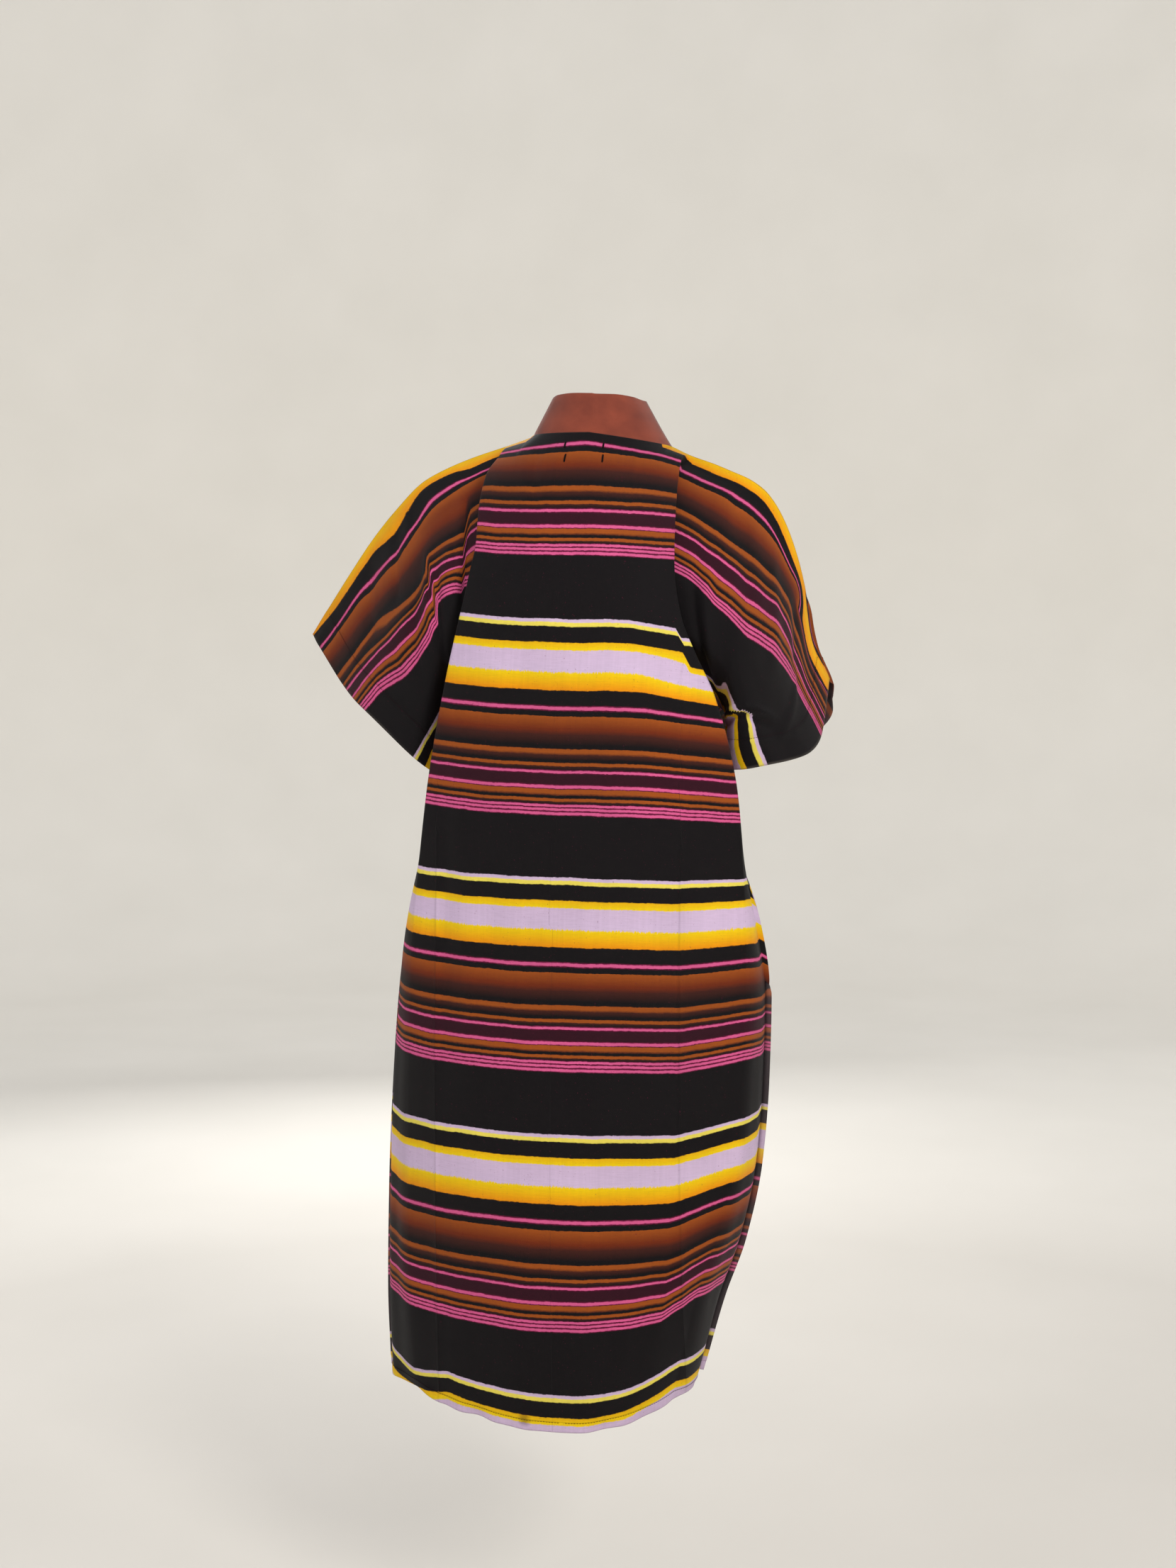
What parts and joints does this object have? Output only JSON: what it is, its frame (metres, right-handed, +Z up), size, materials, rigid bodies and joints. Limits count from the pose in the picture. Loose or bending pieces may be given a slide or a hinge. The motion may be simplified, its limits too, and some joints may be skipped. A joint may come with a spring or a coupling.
{
  "type": "boubou robe",
  "caption": "Knee-length striped boubou robe in its worn form, hollow, with wide kimono sleeves and a low stand collar that runs into a V neck.",
  "frame": {"origin": "between the two shoulders at the neck, where the wearer carries the robe", "axes": "+Z up along the robe's length, the front faces -Y, the wearer's left side is at +X"},
  "size_m": [0.5967, 0.3234, 1.1199],
  "materials": {
    "print": "smooth cotton with a printed horizontal multicolour stripe",
    "plain": "plain terracotta cotton"
  },
  "bodies": {
    "root": {"back": "print", "front": "print", "collar": "plain"}
  },
  "joints": []
}
